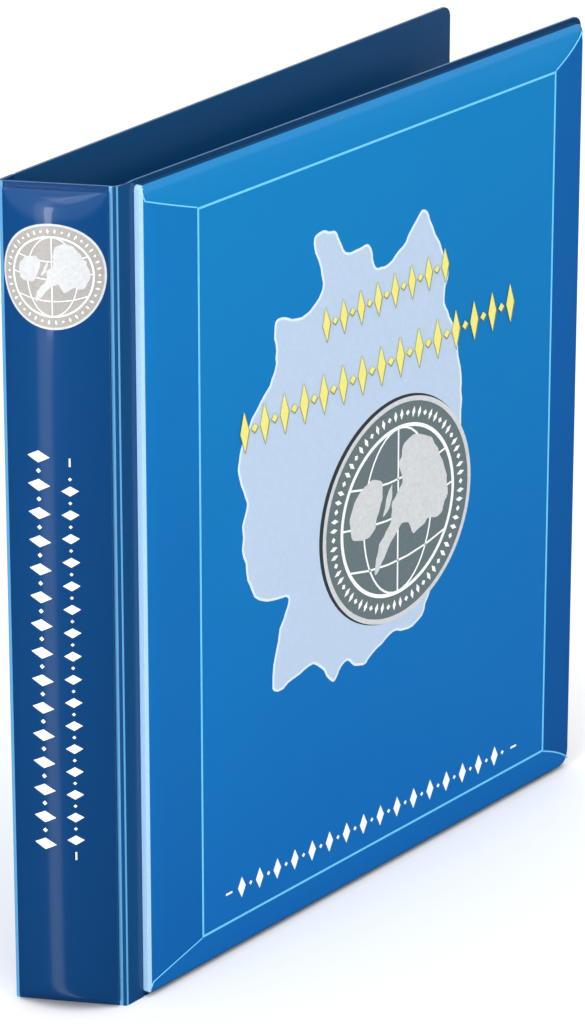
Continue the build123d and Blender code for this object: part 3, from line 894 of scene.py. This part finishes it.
def makeFrameLine():
    shape = coverShape
    left, right = coverNear + shape["spineMargin"], coverFar - shape["foreMargin"]
    low, high = shape["bottomMargin"], albumHeight - shape["topMargin"]
    inset, width = frameLine["inset"], frameLine["width"]
    line = startSheet("coverFrameLine", left + inset, right - inset, low + inset, high - inset,
                      shape["fieldLevel"] + inkShape["lift"])
    makeActive(line)
    bpy.ops.object.mode_set(mode="EDIT")
    bpy.ops.mesh.select_all(action="SELECT")
    bpy.ops.mesh.inset(thickness=width)
    bpy.ops.mesh.delete(type="FACE")
    bpy.ops.mesh.select_all(action="SELECT")
    bpy.ops.mesh.extrude_region_move(TRANSFORM_OT_translate={"value": (0, 0, inkShape["thickness"])})
    bpy.ops.object.mode_set(mode="OBJECT")
    cleanNormals(line)
    finishInk(line, frontSpace, "line", "front_cover")


def makeCreases():
    # the film's folds run from the field's corners to the cover's corners, as thin ridges coloured with the light
    # cyan ink as a painted highlight
    shape = coverShape
    least = shape["rimWidth"] + shape["slopeInset"]
    steps = marginSteps(shape, shape["bottomMargin"], shape["topMargin"], 0)[3:]
    made = []
    for across in ("spine", "fore"):
        for high in (False, True):
            curve = bpy.data.curves.new("crease", "CURVE")
            curve.dimensions = "3D"
            curve.bevel_depth = frameLine["crease"]
            curve.bevel_resolution = 2
            curve.use_fill_caps = True
            spline = curve.splines.new("POLY")
            spline.points.add(len(steps) - 1)
            for point, (left, right, low, top, level) in zip(spline.points, steps):
                x = coverFar - max(right, least)
                if across == "spine":
                    x = coverNear + max(left, shape["hingeInset"])
                y = albumHeight - max(top, least) if high else max(low, least)
                point.co = (x, y, level - frameLine["crease"] * 0.6, 1)
            crease = bpy.data.objects.new("crease", curve)
            bpy.context.scene.collection.objects.link(crease)
            makeActive(crease)
            bpy.ops.object.convert(target="MESH")
            cleanNormals(crease)
            smooth(crease, 50)
            made.append(crease)
    finishInk(joinPieces(made, "coverCreasesPaintedHighlight"), frontSpace, "line", "front_cover")


def makeLand():
    level = coverShape["fieldLevel"] + inkShape["lift"]
    corners = [Vector(spot) * mm for spot in landOutline]
    rounded = roundedOutline(corners, landShape["steps"])
    outline = roughOutline(rounded, landShape["detail"], landShape["detailSize"])
    edge = inkSheet("coverLandEdge", outline, level)
    finishInk(edge, frontSpace, "landEdge", "front_cover")
    inner = []
    for number, spot in enumerate(outline):
        way = (outline[(number + 1) % len(outline)] - outline[number - 1]).normalized()
        inner.append(spot + Vector((way.y, -way.x)) * landShape["edge"])
    land = inkSheet("coverLand", inner, level + inkShape["layer"])
    finishInk(land, frontSpace, "land", "front_cover")


def coinPoint(radius, turn):
    return Vector((math.cos(turn), math.sin(turn))) * radius


def meridian(bulge):
    # half an ellipse from pole to pole
    turns = [math.pi * i / 24 for i in range(25)]
    return [(math.sin(turn) * bulge, math.cos(turn)) for turn in turns]


# land shapes on the globe, drawn in shares of its radius
globeLands = (
    ((-0.72, 0.42), (-0.4, 0.5), (-0.28, 0.3), (-0.36, 0.02), (-0.52, -0.16), (-0.78, -0.12), (-0.86, 0.12)),
    ((0.12, 0.78), (0.36, 0.84), (0.62, 0.66), (0.84, 0.3), (0.9, -0.06), (0.74, -0.3), (0.5, -0.28),
     (0.3, -0.4), (0.16, -0.2), (-0.04, -0.26), (-0.24, -0.5), (-0.4, -0.66), (-0.36, -0.36),
     (-0.14, -0.1), (-0.1, 0.16), (0.06, 0.3), (0.02, 0.56)),
    ((-0.2, 0.2), (-0.1, 0.36), (-0.14, 0.1), (-0.26, 0.02)),
)


def makeCoinPrint(name, space, body, centre, radius, level, beadCount, band="graphite", bend=None):
    globe = radius * 0.745
    layer = inkShape["layer"]
    centre = Vector(centre)
    bands = [("Rim", radius, radius * 0.955, "silver", 1), ("Band", radius * 0.957, globe, band, 1),
             ("Inner", globe * 1.03, globe * 0.985, "white", 2), ("Globe", globe, 0, band, 1)]
    made = []
    for label, outer, inner, finish, height in bands:
        made.append((ringSheet(name + label, centre, outer, inner, level + layer * height), finish))
    beads = []
    for number in range(beadCount):
        turn = 2 * math.pi * number / beadCount
        spot = centre + coinPoint(radius * 0.86, turn)
        tall, wide = (radius * 0.05, radius * 0.022) if number % 3 else (radius * 0.026, radius * 0.026)
        out, along = coinPoint(1, turn), coinPoint(1, turn + math.pi / 2)
        corners = [spot + out * tall, spot + along * wide, spot - out * tall, spot - along * wide]
        beads.append(inkSheet("bead", corners, level + layer * 2))
    made.append((joinPieces(beads, name + "Beads"), "white"))
    lines = []
    for bulge in (-0.62, 0.0, 0.62):
        line = [centre + Vector((x * globe, y * globe)) for x, y in meridian(bulge)]
        lines.append(ribbon("meridian", line, radius * 0.018, level + layer * 2))
    for height in (-0.5, 0.05, 0.5):
        reach = math.sqrt(1 - height ** 2)
        line = [centre + Vector((x * reach, height - 0.12 * (1 - x * x))) * globe
                for x in (-1, -0.6, -0.2, 0.2, 0.6, 1)]
        lines.append(ribbon("parallel", line, radius * 0.018, level + layer * 2))
    made.append((joinPieces(lines, name + "Grid"), "white"))
    lands = []
    for shape in globeLands:
        corners = [centre + Vector(spot) * globe for spot in shape]
        coast = roughOutline(roundedOutline(corners, 6), radius * 0.03, radius * 0.1)
        lands.append(inkSheet("land", coast, level + layer * 3))
    made.append((joinPieces(lands, name + "Lands"), "silver"))
    for piece, finish in made:
        if bend:
            bend(piece)
        finishInk(piece, space, finish, body)


def makeCoinShadow(centre, radius, level):
    # the dark edge printed behind the coin's upper left: one disc, a little larger and set off under the coin
    spot = Vector(centre) + Vector((-1.3, 0.7)) * mm
    disc = ringSheet("coverCoinShadow", spot, radius + 0.5 * mm, 0, level + inkShape["layer"] * 1.2)
    finishInk(disc, frontSpace, "dusk", "front_cover")


def ornamentRow(name, start, end, tall, level, spacing, finishes, space, body, dashes=False, bend=None):
    # a rule of lozenges with a bead between each two
    start, end = Vector(start), Vector(end)
    way = (end - start).normalized()
    side = Vector((-way.y, way.x))
    count = max(round((end - start).length / spacing), 1)
    parts = {finish: [] for finish, _, _ in finishes}
    for finish, grow, shift in finishes:
        for number in range(count + 1):
            spot = start + way * (end - start).length * number / count + Vector(shift)
            high = (tall if number % 2 == 0 else tall * 0.22) / 2 + grow
            wide = (spacing * 0.42 if number % 2 == 0 else tall * 0.11) + grow
            corners = [spot + side * high, spot + way * wide, spot - side * high, spot - way * wide]
            height = level + inkShape["layer"] * (1 if finish == finishes[0][0] else 2)
            parts[finish].append(inkSheet("lozenge", corners, height))
        if dashes:
            for sign, corner in ((-1, start), (1, end)):
                middle = corner + way * sign * spacing * 1.4
                line = [middle - way * spacing * 0.35, middle + way * spacing * 0.35]
                parts[finish].append(ribbon("dash", line, tall * 0.1, level + inkShape["layer"]))
    for number, (finish, _, _) in enumerate(finishes):
        row = joinPieces(parts[finish], name if number == len(finishes) - 1 else name + "Edge")
        if bend:
            bend(row)
        finishInk(row, space, finish, body)


plainWhite = (("white", 0.0, (0, 0)),)


def makeCoverPrint():
    level = coverShape["fieldLevel"] + inkShape["lift"]
    centre = (coinPrint["across"], coinPrint["up"])
    makeFrameLine()
    makeCreases()
    makeLand()
    makeCoinShadow(centre, coinPrint["radius"], level)
    makeCoinPrint("coverCoin", frontSpace, "front_cover", centre, coinPrint["radius"],
                  level + inkShape["layer"], coinPrint["beads"])
    onCoin = level + inkShape["layer"] * 4
    edged = (("olive", 0.25 * mm, (0.25 * mm, -0.35 * mm)), ("yellow", 0.0, (0, 0)))
    ornamentRow("upperYellowRule", (96 * mm, 209 * mm), (158 * mm, 212.5 * mm), 12 * mm, onCoin,
                4.4 * mm, edged, frontSpace, "front_cover")
    ornamentRow("lowerYellowRule", (55 * mm, 184 * mm), (194 * mm, 189 * mm), 14 * mm, onCoin,
                5.0 * mm, edged, frontSpace, "front_cover")
    ornamentRow("whiteFootRule", (53 * mm, 23.5 * mm), (194 * mm, 21.0 * mm), 7.5 * mm, level,
                4.6 * mm, plainWhite, frontSpace, "front_cover", dashes=True)


makeCoverPrint()
print("cover print")


spinePrint = {
    "coinUp": 252.5 * mm,
    "coinRadius": 17.2 * mm,
    "beads": 42,
    "lift": 0.06 * mm,
    "cuts": 16,                     # lines on each side of the crown at which a flat sheet can bend
}


def wrapOnSpine(piece):
    # lays a flat sheet of ink on the spine's arch; its x is measured along the arch from the crown
    shape = spineShape
    bulge = shape["bulge"] - shape["filmClear"]
    radius = archRadius(spineSpan / 2 - shape["edge"] - shape["filmClear"], bulge)
    centre = shape["shoulder"] + shape["filmClear"] + bulge - radius
    makeActive(piece)
    bpy.ops.object.mode_set(mode="EDIT")
    for number in range(-spinePrint["cuts"], spinePrint["cuts"] + 1):
        bpy.ops.mesh.select_all(action="SELECT")
        bpy.ops.mesh.bisect(plane_co=(number * 1.1 * mm, 0, 0), plane_no=(1, 0, 0))
    mesh = bmesh.from_edit_mesh(piece.data)
    for vertex in mesh.verts:
        turn = vertex.co.x / radius
        reach = radius + spinePrint["lift"] + vertex.co.z
        vertex.co.x = spineSpan / 2 + math.sin(turn) * reach
        vertex.co.z = centre + math.cos(turn) * reach
    bmesh.update_edit_mesh(piece.data)
    bpy.ops.object.mode_set(mode="OBJECT")
    smooth(piece, 40)


def makeSpinePrint():
    makeCoinPrint("spineCoin", spineSpace, "spine", (0, spinePrint["coinUp"]), spinePrint["coinRadius"], 0,
                  spinePrint["beads"], "pewter", wrapOnSpine)
    ornamentRow("spineRuleRear", (-5.5 * mm, 60 * mm), (-5.5 * mm, 193 * mm), 7.5 * mm, 0, 4.8 * mm,
                plainWhite, spineSpace, "spine", bend=wrapOnSpine)
    ornamentRow("spineRuleFront", (4.5 * mm, 62 * mm), (4.5 * mm, 186 * mm), 5.5 * mm, 0, 4.0 * mm,
                plainWhite, spineSpace, "spine", dashes=True, bend=wrapOnSpine)


makeSpinePrint()
print("spine print")


# CAD pieces that keep their shape

finishes = {
    "liner": "liner", "board": "board", "housing": "nickel", "rivet": "nickel", "lever": "nickel",
    "blade": "nickel", "half_ring": "chrome", "foil": "foil", "card": "card",
}


def finishNodes():
    for name, node in frame["nodes"].items():
        for word, finish in finishes.items():
            if word in name:
                node.data.materials.clear()
                node.data.materials.append(materials[finish])


finishNodes()
print("construction pieces finished")
